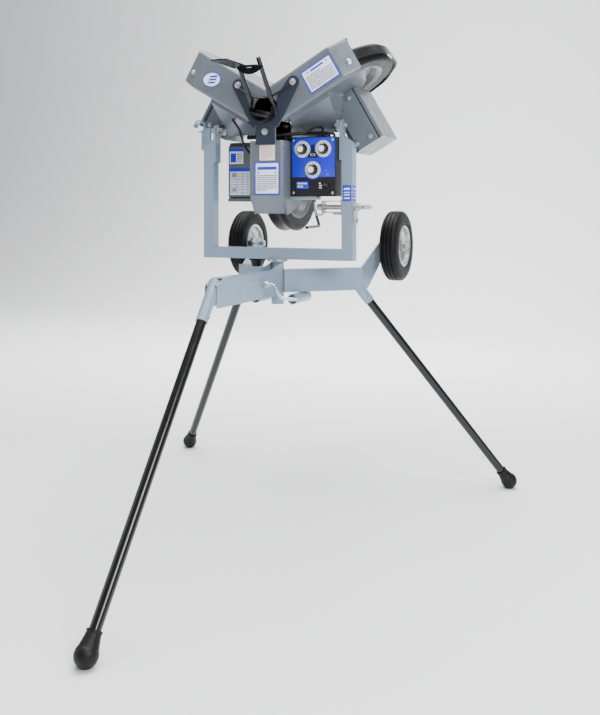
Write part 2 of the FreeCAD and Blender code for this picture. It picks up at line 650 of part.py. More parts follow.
def throw_hub(side):
    """Cast wheel centre, dished away from the motor, on the motor's shaft."""
    w = WHEEL_HALF_WIDTH
    rim = 141.9
    profile = [(-w + 2, 0), (w - 4, 0), (w - 4, 30), (4, 34), (0, 60), (4, 112), (w - 8, 126),
               (w - 1, rim - 6), (w - 1, rim), (-w + 1, rim), (-w + 1, rim - 6),
               (-w + 8, 126), (-8, 112), (-10, 60), (-w + 2, 34)]
    wheel = turned(profile, V(0, WHEEL_Y, WHEEL_CENTRE_R), V(1, 0, 0))
    shaft = rod(V(w - 6, WHEEL_Y, WHEEL_CENTRE_R), V(160, WHEEL_Y, WHEEL_CENTRE_R), SHAFT_RADIUS)
    hub = wheel.fuse(shaft)
    return hub if side > 0 else mirrored(hub)


def strap(points, radii, width, thickness):
    """Flat bar bent in the plane of y and z, its width across x."""
    path = bent_path(points, radii)
    along = (points[1] - points[0]).normalize()
    across = V(1, 0, 0) * (width / 2)
    normal = V(0, -along.z, along.y) * (thickness / 2)
    corners = [points[0] + across + normal, points[0] - across + normal,
               points[0] - across - normal, points[0] + across - normal]
    section = Part.makePolygon(corners + [corners[0]])
    return path.makePipeShell([section], True, False, 2)


def upper_guard():
    """Strap round the outside of an upper wheel, from its housing to the front plate."""
    radius = WHEEL_RADIUS + GUARD_GAP + GUARD_THICKNESS / 2
    centre = V(0, WHEEL_Y, WHEEL_CENTRE_R)
    leave = 7.0

    def rim_point(degrees):
        angle = math.radians(degrees)
        return centre + V(0, radius * math.sin(angle), radius * math.cos(angle))

    first, middle, last = rim_point(-62), rim_point(-28), rim_point(leave)
    tangent = V(0, math.cos(math.radians(leave)), -math.sin(math.radians(leave)))
    points = [last, last + tangent * 112, V(0, 352, 306), V(0, 372, 196), V(0, 340, GUARD_FOOT_R),
              V(0, HOUSING_FRONT_Y + 5, GUARD_FOOT_R)]
    run = strap(points, [110, 110, 70, 20], GUARD_WIDTH, GUARD_THICKNESS)
    across = V(1, 0, 0) * (GUARD_WIDTH / 2)
    outward = (first - centre).normalize() * (GUARD_THICKNESS / 2)
    corners = [first + across + outward, first - across + outward,
               first - across - outward, first + across - outward]
    arc = Part.Wire([Part.Arc(first, middle, last).toShape()])
    fender = arc.makePipeShell([Part.makePolygon(corners + [corners[0]])], True, False, 2)
    tab = box(-GUARD_WIDTH / 2, GUARD_WIDTH / 2, -83, -54, 303, 307)
    wall = [(REAR_FACE_Y - 20, HOUSING_BEND_R - 40), (REAR_FACE_Y + HOUSING_WALL, HOUSING_BEND_R - 1),
            (HOUSING_END_Y + HOUSING_WALL + 1, HOUSING_END_R + 8),
            (REAR_FACE_Y - 20, HOUSING_END_R + 8)]
    return fuse([fender, run, tab.cut(side_prism(wall, -40, 40))])


def lower_guard():
    """Bent bar in front of the lower wheel, from the front plate to under the tread."""
    points = [V(0, HOUSING_FRONT_Y + 5, GUARD_FOOT_R), V(0, 345, GUARD_FOOT_R), V(0, 326, 318),
              V(-24, 322, 389.5), V(-24, 197, 391.5)]
    return bent_rod(points, [20, 60, 12], GUARD_BAR_RADIUS)


def rear_plate():
    """Dark three-armed plate that ties the housings together behind the ball's entrance."""
    y0, y1 = REAR_FACE_Y - PLATE_THICKNESS, REAR_FACE_Y
    shapes = [box(-33, 33, y0, y1, 1242, 1335)]
    for sign in (-1, 1):
        tip = V(sign * 99, y0, 1440)
        root = V(sign * 20, y0, 1312)
        along = (tip - root).normalize()
        across = V(along.z, 0, -along.x) * 20
        wide = V(along.z, 0, -along.x) * 30
        outer = [root + wide, tip + across, tip - across, root - wide]
        shapes.append(prism(outer, V(0, PLATE_THICKNESS, 0)))
        shapes.append(rod(tip, tip + V(0, PLATE_THICKNESS, 0), 20))
    plate = fuse(shapes)
    plate = plate.cut(rod(V(0, y0 - 1, BALL_AXIS_Z), V(0, y1 + 1, BALL_AXIS_Z), 42.0))
    return plate.cut(front_prism([(-42, BALL_AXIS_Z), (-48, 1460), (48, 1460), (42, BALL_AXIS_Z)],
                                 y0 - 1, y1 + 1))


def front_plate():
    """Three-lobed plate between the housings' front edges, with the ball's exit."""
    y0, y1 = HOUSING_FRONT_Y, HOUSING_FRONT_Y + 5
    plate = rod(V(0, y0, BALL_AXIS_Z), V(0, y1, BALL_AXIS_Z), 122)
    inner = HOUSING_HALF_WIDTH - HOUSING_WALL
    for angle in (LOWER, UPPER_RIGHT, UPPER_LEFT):
        plate = plate.cut(in_module(box(-inner, inner, y0 - 1, y1 + 1, 53, 200), angle))
    return plate.cut(rod(V(0, y0 - 1, BALL_AXIS_Z), V(0, y1 + 1, BALL_AXIS_Z), 46))


def feed_trough():
    """Half-round trough that guides the ball between the wheels."""
    full = tube(V(0, -136, BALL_AXIS_Z), V(0, 32, BALL_AXIS_Z), TROUGH_OUTER, TROUGH_INNER)
    return full.cut(box(-60, 60, -140, 40, BALL_AXIS_Z + 6, BALL_AXIS_Z + 60))


def feed_frame():
    """Two sloping rods that the ball rolls down, joined at the top by a crescent."""
    y, z = ROD_TOP
    left = rod(V(-ROD_X, *ROD_LOW), V(-ROD_X, y, z), ROD_RADIUS)
    right = rod(V(ROD_X, *ROD_LOW), V(ROD_X, *RIGHT_ROD_TOP), ROD_RADIUS)
    disc = rod(V(0, y - 3, z + 26), V(0, y + 3, z + 26), 56)
    bite = rod(V(0, y - 4, z + 50), V(0, y + 4, z + 50), 60)
    crescent = disc.cut(bite).cut(box(-90, 90, y - 10, y + 10, z - 5, z + 90))
    beyond_plate = box(-90, 90, REAR_FACE_Y - PLATE_THICKNESS, 0, 1300, 1400)
    path = rod(V(0, -150, BALL_AXIS_Z), V(0, 0, BALL_AXIS_Z), TROUGH_OUTER)
    return fuse([left, right, crescent]).cut(beyond_plate).cut(path)


def feed_plate():
    """Flat rest plate welded to the crescent at the top of the feed rods."""
    near = ROD_TOP[0] - 3
    low, high = ROD_TOP[1] - 9, ROD_TOP[1] - 5
    plate = box(-54, 2, REST_FAR_Y, near, low, high)
    neck = box(-54, 39, near - 24, near, low, high)
    corners = [edge for edge in plate.Edges
               if all(abs(end.Point.y - REST_FAR_Y) < 1 for end in edge.Vertexes)
               and abs(edge.Vertexes[0].Point.z - edge.Vertexes[1].Point.z) > 1]
    return plate.makeFillet(6, corners).fuse(neck).removeSplitter()


def ball_keeper():
    """Thin curved bar across the chute, between the plate's two upper bolts."""
    y = REAR_FACE_Y - PLATE_THICKNESS - 3.2
    points = [V(-92, y, 1427), V(-40, y, 1396), V(10, y, 1390), V(92, y, 1427)]
    return bent_rod(points, [70, 90], 3.0)


def bolt_set():
    """Hex bolts on the plate and housings."""
    pieces = []
    rear = REAR_FACE_Y - PLATE_THICKNESS
    for x, z in ((-99, 1440), (99, 1440), (0, 1283)):
        pieces.append(bolt(V(x, rear, z), V(0, -1, 0), 15, 7))
    for angle, side, length, inner_r, outer_r in MODULES.values():
        for r in (outer_r - 90, outer_r - 37):
            head = bolt(V(side * (length - 22), MOTOR_BOX_REAR_Y, r), V(0, -1, 0), 10, 5)
            pieces.append(in_module(head, angle))
    return Part.makeCompound(pieces)


def pivot_bracket():
    """Lug on the right upper motor housing and the pin that carries the head."""
    x1 = YOKE_HALF_WIDTH - TUBE - EAR_THICKNESS - 1.5
    lug = box(x1 - 9, x1, -16, MOTOR_BOX_REAR_Y, PIVOT_Z - 16, PIVOT_Z + 16)
    pin = rod(V(x1 - 20, 0, PIVOT_Z), V(x1 + 24, 0, PIVOT_Z), PIVOT_RADIUS)
    head = hexagon(V(x1 - 18, 0, PIVOT_Z), V(1, 0, 0), 18, 8)
    nut = hexagon(V(YOKE_HALF_WIDTH - TUBE + 1.0, 0, PIVOT_Z), V(1, 0, 0), 18, 8)
    return fuse([lug, pin, head, nut])


def control_box():
    """Moulded box for the speed controls, with its opening for the mains inlet."""
    body = box(BOX_X0, BOX_X1, BOX_Y0, BOX_Y1, BOX_Z0, BOX_Z1)
    long_edges = [e for e in body.Edges
                  if abs(e.Vertexes[0].Point.y - e.Vertexes[1].Point.y) > 10]
    body = body.makeFillet(5, long_edges)
    body = body.cut(box(BOX_X0 + 4, BOX_X1 - 4, BOX_Y0 - 1, BOX_Y1 - 4, BOX_Z0 + 4, BOX_Z1 - 4))
    return body.cut(box(BOX_X0 + 96, BOX_X0 + 124, -8, 12, BOX_Z0 - 1, BOX_Z0 + 5))


def control_panel():
    """Panel screwed to the operator's side of the box, bored for the controls."""
    y0 = BOX_Y0 - 3
    panel = box(BOX_X0 + 1, BOX_X1 - 1, y0, BOX_Y0, BOX_Z0 + 1, BOX_Z1 - 1)
    for x, z in zip(KNOB_X, KNOB_Z):
        panel = panel.cut(rod(V(x, y0 - 1, z), V(x, BOX_Y0 + 1, z), 4.05))
    return panel.cut(box(SWITCH_X - 9, SWITCH_X + 9, y0 - 1, BOX_Y0 + 1, SWITCH_Z - 12, SWITCH_Z + 12))


def speed_knob(x, z):
    """Skirted knob on its control's spindle."""
    y = BOX_Y0 - 3
    spindle = rod(V(x, y + 14, z), V(x, y - 4, z), 4.0)
    skirt = rod(V(x, y - 0.5, z), V(x, y - 4.5, z), 18)
    grip = rod(V(x, y - 4.5, z), V(x, y - 20, z), 13.5)
    for k in range(12):
        angle = math.radians(30 * k)
        flute = rod(V(x + 14.6 * math.cos(angle), y - 4.5, z + 14.6 * math.sin(angle)),
                    V(x + 14.6 * math.cos(angle), y - 21, z + 14.6 * math.sin(angle)), 2.0)
        grip = grip.cut(flute)
    return fuse([spindle, skirt, grip])


def rocker_switch():
    """Rocker of the power switch, pivoted on a level pin behind the panel."""
    y = BOX_Y0 - 3
    outline = [(y - 3.6, SWITCH_Z + 10.5), (y - 1.0, SWITCH_Z), (y - 3.6, SWITCH_Z - 10.5),
               (y + 6, SWITCH_Z - 9), (y + 8, SWITCH_Z), (y + 6, SWITCH_Z + 9)]
    rocker = side_prism(outline, SWITCH_X - 8.4, SWITCH_X + 8.4)
    rocker.rotate(V(SWITCH_X, y + ROCKER_PIN_DEPTH, SWITCH_Z), V(1, 0, 0), ROCKER_TILT)
    return rocker


def motor_cables(castings):
    """Leads held along the head; each ends at the face of the casting it enters."""
    routes = [
        ([V(-214, 24, 1352), V(-180, 8, 1342), V(-128, -70, 1322), V(-96, -92, 1290),
          V(-84, -82, 1236), V(-74, -40, 1206), V(-66, -10, 1200)], [16, 22, 18, 22, 16]),
        ([V(37, -88, 1270), V(70, -84, 1274), V(122, -56, 1277), V(150, -30, 1298),
          V(168, -12, 1300), V(168, -12, BOX_Z1)], [16, 26, 14, 10]),
        ([V(37, -56, 1273), V(80, -46, 1275), V(205, -38, 1275), V(212, -20, 1275),
          V(212, -20, BOX_Z1)], [20, 12, 5]),
        ([V(37, -46, 1276), V(80, -36, 1279.5), V(182, -29, 1279.5), V(190, -8, 1279.5),
          V(190, -8, BOX_Z1)], [20, 12, 6]),
    ]
    cables = []
    for points, radii in routes:
        visible = bent_rod(points, radii, 4.0).cut(castings)
        cables.append(max(visible.Solids, key=lambda solid: solid.Volume))
    return Part.makeCompound(cables)


def make_head():
    parts["wheel_housing_lower"] = lower_housing()
    upper_right = upper_right_housing().cut(parts["wheel_housing_lower"])
    parts["wheel_housing_upper_right"] = upper_right
    parts["wheel_housing_upper_left"] = mirrored(upper_right)
    for name, (angle, side, length, inner_r, outer_r) in MODULES.items():
        cover = motor_housing(side, length, inner_r, outer_r)
        parts["motor_housing_" + name] = in_module(cover, angle)
        parts["throw_tyre_" + name] = in_module(throw_tyre(), angle)
        parts["throw_hub_" + name] = in_module(throw_hub(side), angle)
    parts["motors"] = Part.makeCompound([in_module(motor(module[1]), module[0])
                                         for module in MODULES.values()])
    parts["upper_guards"] = Part.makeCompound([in_module(upper_guard(), UPPER_RIGHT),
                                               in_module(upper_guard(), UPPER_LEFT)])
    parts["lower_guard"] = in_module(lower_guard(), LOWER)
    parts["rear_plate"] = rear_plate()
    parts["front_plate"] = front_plate()
    parts["feed_trough"] = feed_trough()
    parts["feed_frame"] = feed_frame()
    parts["feed_plate"] = feed_plate().cut(parts["feed_frame"])
    parts["ball_keeper"] = ball_keeper()
    parts["head_bolts"] = bolt_set()
    bracket = pivot_bracket().cut(upper_right)
    parts["pivot_brackets"] = Part.makeCompound([bracket, mirrored(bracket)])
    parts["control_box"] = control_box()
    parts["control_panel"] = control_panel()
    for name, x, z in zip(("left", "right", "lower"), KNOB_X, KNOB_Z):
        parts["speed_knob_" + name] = speed_knob(x, z)
    parts["rocker_switch"] = rocker_switch()
    castings = fuse([parts["wheel_housing_lower"], upper_right,
                     parts["wheel_housing_upper_left"]])
    parts["motor_cables"] = motor_cables(castings)


def main():
    os.makedirs("parts", exist_ok=True)
    make_base()
    make_yoke()
    make_head()
    for name, shape in parts.items():
        placed = shape.copy()
        placed.translate(V(0, SWIVEL_Y, 0))
        placed.exportStep("parts/" + name + ".step")
    print(len(parts), "parts")


main()
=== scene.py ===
"""Looks for the three-wheel baseball pitching machine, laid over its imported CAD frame.

Pieces are drawn in the CAD design's millimetres: x to the right, y towards the throw, z up, with
the yoke's swivel axis at x = y = 0. A matrix lays them into the frame's metres. Each piece rides
the body that carries it, so it follows every joint.
"""
import math

import bmesh
import bpy
from mathutils import Matrix, Vector


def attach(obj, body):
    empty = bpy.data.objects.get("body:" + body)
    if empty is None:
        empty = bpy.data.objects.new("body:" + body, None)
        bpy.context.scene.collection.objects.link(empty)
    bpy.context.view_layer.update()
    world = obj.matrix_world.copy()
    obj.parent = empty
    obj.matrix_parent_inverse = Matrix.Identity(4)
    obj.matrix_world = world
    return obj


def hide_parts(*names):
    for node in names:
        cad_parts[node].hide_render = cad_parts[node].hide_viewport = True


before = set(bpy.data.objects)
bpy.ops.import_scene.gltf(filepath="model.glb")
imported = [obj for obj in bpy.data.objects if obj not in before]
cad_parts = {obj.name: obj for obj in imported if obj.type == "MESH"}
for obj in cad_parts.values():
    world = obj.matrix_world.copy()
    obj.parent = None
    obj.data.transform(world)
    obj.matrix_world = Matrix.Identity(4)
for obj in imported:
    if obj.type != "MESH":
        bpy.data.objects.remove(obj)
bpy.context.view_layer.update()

# Metres: where the design stands in the frame
SWIVEL_Y = 0.234
BALL_Z = 1.354
DESIGN = Matrix.Translation((0, SWIVEL_Y, 0)) @ Matrix.Scale(0.001, 4)
MODULES = {"lower": 180, "upper_right": 60, "upper_left": -60}

# Design millimetres: faces and centres of the CAD parts that the pieces lie on
COVER_FACE_Y = -95.0       # wheel covers, towards the feeder
PANEL_FACE_Y = -39.0       # speed control panel
MOTOR_FACE_Y = 40.0        # motor boxes
PLATE_FACE_Y = COVER_FACE_Y - 6   # dark Y-shaped plate, which lies on the covers
TUBE_HALF = 19             # yoke's square tube
YOKE_X = 255               # middle of each upright
RAIL_Z = 880               # middle of the yoke's rail
LOCK_Y, LOCK_Z = -159.5, 790
KNOBS = {"left": (107, 1226), "right": (181, 1226), "lower": (144, 1158)}

SHARP_ANGLE = math.radians(32)
BEVEL_ANGLE = math.radians(30)


def module_matrix(name):
    """One wheel module's millimetres: x across, y towards the throw, z out from the ball."""
    turn = Matrix.Rotation(math.radians(MODULES[name]), 4, "Y")
    return Matrix.Translation((0, SWIVEL_Y, BALL_Z)) @ turn @ Matrix.Scale(0.001, 4)


# ---------------------------------------------------------------- materials
def linear(color):
    """A colour seen in daylight, given as 0 to 255, in linear values."""
    out = []
    for c in color:
        c = c / 255
        out.append(c / 12.92 if c <= 0.04045 else ((c + 0.055) / 1.055) ** 2.4)
    return out


def material(name, color, rough=0.45, rough_vary=0.05, metal=0.0, coat=0.0, gloss=0.5,
             vary=0.05, patch=20, tint=(1, 1, 1), grain=700, bump=0.05,
             wear=0.0, wear_color=None, edge=0.0):
    """A procedural finish: patchy colour, fine grain, uneven roughness and rubbed spots.

    patch and grain are noise scales, vary and rough_vary are spreads, tint is the lighter patches'
    hue, wear is how much is rubbed, and edge is the radius of softened edges in metres.
    """
    mat = bpy.data.materials.new(name)
    mat.use_nodes = True
    tree = mat.node_tree
    nodes, links = tree.nodes, tree.links
    shader = nodes["Principled BSDF"]
    shader.inputs["Metallic"].default_value = metal
    shader.inputs["Specular IOR Level"].default_value = gloss
    if coat:
        shader.inputs["Coat Weight"].default_value = coat
        shader.inputs["Coat Roughness"].default_value = 0.12
    coords = nodes.new("ShaderNodeTexCoord")

    def noise(scale, detail=4.0):
        node = nodes.new("ShaderNodeTexNoise")
        node.inputs["Scale"].default_value = scale
        node.inputs["Detail"].default_value = detail
        links.new(coords.outputs["Object"], node.inputs["Vector"])
        return node.outputs["Fac"]

    def blend(factor, a, b):
        """Colour a turning to b by factor; a colour is linear values or a node's output."""
        node = nodes.new("ShaderNodeMix")
        node.data_type = "RGBA"
        links.new(factor, node.inputs[0])
        for socket, value in ((node.inputs[6], a), (node.inputs[7], b)):
            if hasattr(value, "links"):
                links.new(value, socket)
            else:
                socket.default_value = (*value, 1)
        return node.outputs[2]

    def span(source, low, high, new_low, new_high):
        node = nodes.new("ShaderNodeMapRange")
        for index, value in enumerate((low, high, new_low, new_high), start=1):
            node.inputs[index].default_value = value
        links.new(source, node.inputs[0])
        return node.outputs[0]

    color = linear(color)
    dark = [c * (1 - vary) for c in color]
    light = [min(1, c * (1 + vary) * t) for c, t in zip(color, tint)]
    result = blend(span(noise(patch), 0.3, 0.7, 0, 1), dark, light)
    if wear:
        spots = span(noise(34.0, 8.0), 0.66 - wear * 0.2, 0.72 - wear * 0.16, 0, 1)
        result = blend(spots, result, linear(wear_color))
    links.new(result, shader.inputs["Base Color"])
    links.new(span(noise(patch * 5), 0.25, 0.75, max(0.02, rough - rough_vary),
                   min(1, rough + rough_vary)), shader.inputs["Roughness"])
    bumper = nodes.new("ShaderNodeBump")
    bumper.inputs["Strength"].default_value = bump
    bumper.inputs["Distance"].default_value = 0.0006
    links.new(noise(grain, 3.0), bumper.inputs["Height"])
    if edge:
        rounder = nodes.new("ShaderNodeBevel")
        rounder.samples = 4
        rounder.inputs["Radius"].default_value = edge
        links.new(rounder.outputs["Normal"], bumper.inputs["Normal"])
    links.new(bumper.outputs["Normal"], shader.inputs["Normal"])
    return mat


FINISHES = {
    "grey_paint": material(
        "grey_paint", color=(128, 147, 164), rough=0.34, rough_vary=0.035, metal=0.2, coat=0.25,
        patch=3, tint=(1, 1.01, 1.03), grain=420, bump=0.07, edge=0.0012),
    "casting": material(
        "casting_paint", color=(100, 108, 116), rough=0.38, rough_vary=0.12, metal=0.25, coat=0.2,
        vary=0.12, patch=6, tint=(1, 1.0, 1.01), grain=150, bump=0.42, edge=0.004),
    "slate": material(
        "slate_paint", color=(34, 42, 55), rough=0.4, rough_vary=0.1, metal=0.1, coat=0.15,
        vary=0.18, patch=9, grain=380, bump=0.2, edge=0.001),
    "black": material(
        "black_paint", color=(8, 8, 9), rough=0.24, rough_vary=0.04, coat=0.25, gloss=0.35,
        vary=0.25, patch=9, grain=300, bump=0.012, edge=0.0008),
    "zinc": material(
        "zinc_plate", color=(190, 192, 194), rough=0.32, rough_vary=0.1, metal=0.95, vary=0.12,
        patch=30, tint=(1.02, 1.0, 0.96), grain=500, bump=0.15, wear=0.15,
        wear_color=(120, 118, 112), edge=0.0008),
    "chrome": material(
        "chrome_plate", color=(226, 228, 232), rough=0.12, metal=1.0, grain=600, bump=0.03,
        wear=0.05, wear_color=(150, 150, 150)),
    "tyre": material(
        "tyre_rubber", color=(9, 9, 10), rough=0.56, rough_vary=0.1, gloss=0.2, vary=0.3,
        patch=14, grain=520, bump=0.3, wear=0.06, wear_color=(26, 25, 24)),
    "tread": material(
        "throwing_rubber", color=(12, 12, 13), rough=0.44, rough_vary=0.1, gloss=0.22, vary=0.25,
        patch=12, grain=420, bump=0.2, wear=0.06, wear_color=(34, 33, 32)),
    "rubber": material(
        "foot_rubber", color=(9, 9, 9), rough=0.5, rough_vary=0.1, gloss=0.25, vary=0.3, patch=22,
        grain=450, bump=0.25, wear=0.05, wear_color=(30, 28, 26)),
    "plastic": material(
        "box_plastic", color=(24, 25, 27), rough=0.48, rough_vary=0.08, vary=0.2, bump=0.4,
        wear=0.05, wear_color=(52, 52, 54), edge=0.001),
    "knob": material(
        "knob_plastic", color=(14, 14, 15), rough=0.25, rough_vary=0.06, coat=0.3, vary=0.2,
        patch=40, grain=600, bump=0.08, wear=0.05, wear_color=(40, 40, 42)),
    "panel_blue": material(
        "panel_blue", color=(18, 36, 196), rough=0.34, rough_vary=0.06, coat=0.2, vary=0.06,
        grain=600, bump=0.06, wear=0.05, wear_color=(70, 90, 215)),
    "panel_black": material(
        "panel_black", color=(16, 17, 20), rough=0.36, rough_vary=0.06, coat=0.2, vary=0.15,
        patch=24, grain=600, bump=0.06, wear=0.05, wear_color=(46, 48, 54)),
    "white": material(
        "label_white", color=(236, 238, 242), rough=0.42, rough_vary=0.06, coat=0.1, vary=0.03,
        patch=16, wear=0.05, wear_color=(214, 216, 220)),
    "ring": material(
        "dial_print", color=(206, 209, 214), rough=0.4, vary=0.03, patch=30, bump=0.04, wear=0.03,
        wear_color=(180, 184, 190)),
    "blue_ink": material(
        "label_blue", color=(22, 44, 196), rough=0.42, vary=0.06, patch=30, bump=0.04, wear=0.03,
        wear_color=(80, 100, 215)),
    "grey_ink": material(
        "label_grey", color=(98, 106, 138), vary=0.06, patch=40, bump=0.04, wear=0.03,
        wear_color=(180, 184, 196)),
    "pink": material(
        "label_pale", color=(232, 222, 222), rough_vary=0.06, vary=0.04, patch=16, wear=0.06,
        wear_color=(220, 206, 206)),
    "pink_ink": material(
        "label_pale_print", color=(205, 148, 154), patch=30, bump=0.04, wear=0.03,
        wear_color=(230, 196, 198)),
    "hub": material(
        "hub_casting", color=(124, 127, 130), rough=0.4, rough_vary=0.1, metal=0.5, vary=0.15,
        patch=12, grain=180, bump=0.4, wear=0.2, wear_color=(88, 90, 92), edge=0.002),
    "dark_steel": material(
        "dark_steel", color=(60, 62, 64), rough=0.42, rough_vary=0.1, metal=0.7, vary=0.2,
        grain=300, bump=0.25, wear=0.2, wear_color=(96, 92, 88)),
}

CAD_LOOKS = {
    "grey_paint": ("hub_post", "front_arm", "right_arm", "left_arm", "axle_bracket_right",
                   "axle_bracket_left", "leg_sockets", "yoke_rail", "yoke_upright_right",
                   "yoke_upright_left", "yoke_ears", "storage_tubes"),
    "zinc": ("axles", "snap_button_front", "snap_button_right", "snap_button_left",
             "transport_rim_right", "transport_rim_left", "swivel_shaft", "adjuster_bracket",
             "adjuster_plate", "adjuster_handle", "head_bolts", "pivot_brackets"),
    "chrome": ("lock_crank",),
    "black": ("leg_front", "leg_right", "leg_left", "upper_guards", "lower_guard", "feed_trough",
              "feed_frame", "feed_plate", "ball_keeper"),
    "rubber": ("rubber_feet", "swivel_bumper", "motor_cables"),
    "tyre": ("transport_tyre_right", "transport_tyre_left"),
    "tread": ("throw_tyre_lower", "throw_tyre_upper_right", "throw_tyre_upper_left"),
    "casting": ("wheel_housing_lower", "wheel_housing_upper_right", "wheel_housing_upper_left",
                "motor_housing_lower", "motor_housing_upper_right", "motor_housing_upper_left",
                "front_plate"),
    "hub": ("throw_hub_lower", "throw_hub_upper_right", "throw_hub_upper_left"),
    "dark_steel": ("motors",),
    "slate": ("rear_plate",),
    "plastic": ("control_box",),
    "panel_black": ("control_panel",),
    "knob": ("speed_knob_left", "speed_knob_right", "speed_knob_lower", "rocker_switch"),
}


def smooth(mesh):
    """Smooth shading that keeps the sharp edges sharp."""
    mesh.polygons.foreach_set("use_smooth", [True] * len(mesh.polygons))
    mesh.set_sharp_from_angle(angle=SHARP_ANGLE)


for look, names in CAD_LOOKS.items():
    for node in names:
        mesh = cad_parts[node].data
        mesh.materials.clear()
        mesh.materials.append(FINISHES[look])
        smooth(mesh)


# ---------------------------------------------------------------- building pieces
def facing(centre, axis):
    """A place at centre whose z points along axis."""
    turn = Vector((0, 0, 1)).rotation_difference(Vector(axis)).to_matrix().to_4x4()
    return Matrix.Translation(centre) @ turn


def flat(points, y):
    """An outline of (x, z) points, on the plane at y."""
    return [(x, y, z) for x, z in points]


def oval(x, z, wide, tall, y, degrees):
    """Points of an ellipse round (x, z) at the given angles, on the plane at y."""
    return [(x + wide * math.cos(math.radians(a)), y, z + tall * math.sin(math.radians(a)))
            for a in degrees]


class Piece:
    """One named piece made of several shapes, drawn in the millimetres of its matrix."""

    def __init__(self, name, body, matrix=DESIGN):
        self.name, self.body, self.matrix = name, body, matrix
        self.mesh = bmesh.new()
        self.looks = []

    def add(self, shape, look, bevel=0.0):
        """Takes a shape in, its corners bevelled, and frees it."""
        if bevel:
            edges = [e for e in shape.edges if len(e.link_faces) == 2
                     and e.calc_face_angle(0) > BEVEL_ANGLE]
            bmesh.ops.bevel(shape, geom=edges, offset=bevel, segments=2, profile=0.5,
                            affect="EDGES", clamp_overlap=True)
        if look not in self.looks:
            self.looks.append(look)
        for face in shape.faces:
            face.material_index = self.looks.index(look)
        scratch = bpy.data.meshes.new("scratch")
        shape.to_mesh(scratch)
        shape.free()
        self.mesh.from_mesh(scratch)
        bpy.data.meshes.remove(scratch)

    def block(self, x0, x1, y0, y1, z0, z1, look, bevel=0.0, turn=Matrix()):
        shape = bmesh.new()
        middle = Vector(((x0 + x1) / 2, (y0 + y1) / 2, (z0 + z1) / 2))
        grow = Matrix.Diagonal((x1 - x0, y1 - y0, z1 - z0, 1))
        bmesh.ops.create_cube(shape, size=1, matrix=Matrix.Translation(middle) @ turn @ grow)
        self.add(shape, look, bevel)

    def prism(self, outline, direction, look, bevel=0.0):
        """An outline drawn out along a direction."""
        shape = bmesh.new()
        low = [shape.verts.new(p) for p in outline]
        high = [shape.verts.new(Vector(p) + Vector(direction)) for p in outline]
        shape.faces.new(low[::-1])
        shape.faces.new(high)
        for i in range(len(low)):
            j = (i + 1) % len(low)
            shape.faces.new((low[i], low[j], high[j], high[i]))
        bmesh.ops.recalc_face_normals(shape, faces=shape.faces)
        self.add(shape, look, bevel)

    def lathe(self, profile, centre, axis, look, segments):
        """A profile of (along, radius) points turned about an axis."""
        shape = bmesh.new()
        place = facing(centre, axis)
        rings = []
        for k in range(segments):
            angle = 2 * math.pi * k / segments
            rings.append([
                shape.verts.new(place @ Vector((r * math.cos(angle), r * math.sin(angle), a)))
                for a, r in profile])
        for k in range(segments):
            here, after = rings[k], rings[(k + 1) % segments]
            for i in range(len(profile) - 1):
                shape.faces.new((here[i], after[i], after[i + 1], here[i + 1]))
        bmesh.ops.remove_doubles(shape, verts=shape.verts, dist=1e-4)
        bmesh.ops.recalc_face_normals(shape, faces=shape.faces)
        self.add(shape, look)

    def rod(self, start, end, radius, look, segments, edge):
        """A round bar whose ends are rounded over by edge."""
        start, end = Vector(start), Vector(end)
        length = (end - start).length
        profile = [(0, 0), (0, radius - edge), (edge * 0.3, radius - edge * 0.3), (edge, radius),
                   (length - edge, radius), (length - edge * 0.3, radius - edge * 0.3),
                   (length, radius - edge), (length, 0)]
        self.lathe(profile, start, end - start, look, segments)

    def hexagon(self, centre, axis, across, height, bevel, spin):
        """A hex head in zinc; spin is its turn in degrees."""
        place = facing(centre, axis)
        r = across / math.sqrt(3)
        outline = [place @ Vector((r * math.cos(math.radians(60 * k + spin)),
                                   r * math.sin(math.radians(60 * k + spin)), 0))
                   for k in range(6)]
        self.prism(outline, Vector(axis).normalized() * height, "zinc", bevel)

    def bolt(self, centre, axis, across, height):
        """Washer, hex head and its domed top."""
        along = Vector(axis).normalized()
        centre = Vector(centre)
        self.rod(centre, centre + along * 1.8, across * 0.74, "zinc", 40, 0.4)
        self.hexagon(centre + along * 1.8, axis, across, height, 0.8, 10)
        self.rod(centre + along * (height + 1.6), centre + along * (height + 2.4), across * 0.36,
                 "zinc", 24, 0.3)

    def done(self, *replaced):
        """Makes the object, lets it ride its body, and lets it stand in for CAD nodes."""
        self.mesh.transform(self.matrix)
        mesh = bpy.data.meshes.new(self.name)
        self.mesh.to_mesh(mesh)
        self.mesh.free()
        for look in self.looks:
            mesh.materials.append(FINISHES[look])
        smooth(mesh)
        obj = bpy.data.objects.new(self.name, mesh)
        bpy.context.scene.collection.objects.link(obj)
        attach(obj, self.body)
        if replaced:
            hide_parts(*replaced)


# ---------------------------------------------------------------- labels
def sticker(piece, x0, x1, z0, z1, y, look="white"):
    """A label's ground, on a face at y that looks towards -y."""
    piece.block(x0, x1, y - 0.5, y + 0.4, z0, z1, look, 0.3)


def bar(piece, x0, x1, z0, z1, y, look="blue_ink", out=0.8):
    """A bar of print that stands out from the face at y, over a label's ground."""
    piece.block(x0, x1, y - out, y, z0, z1, look)


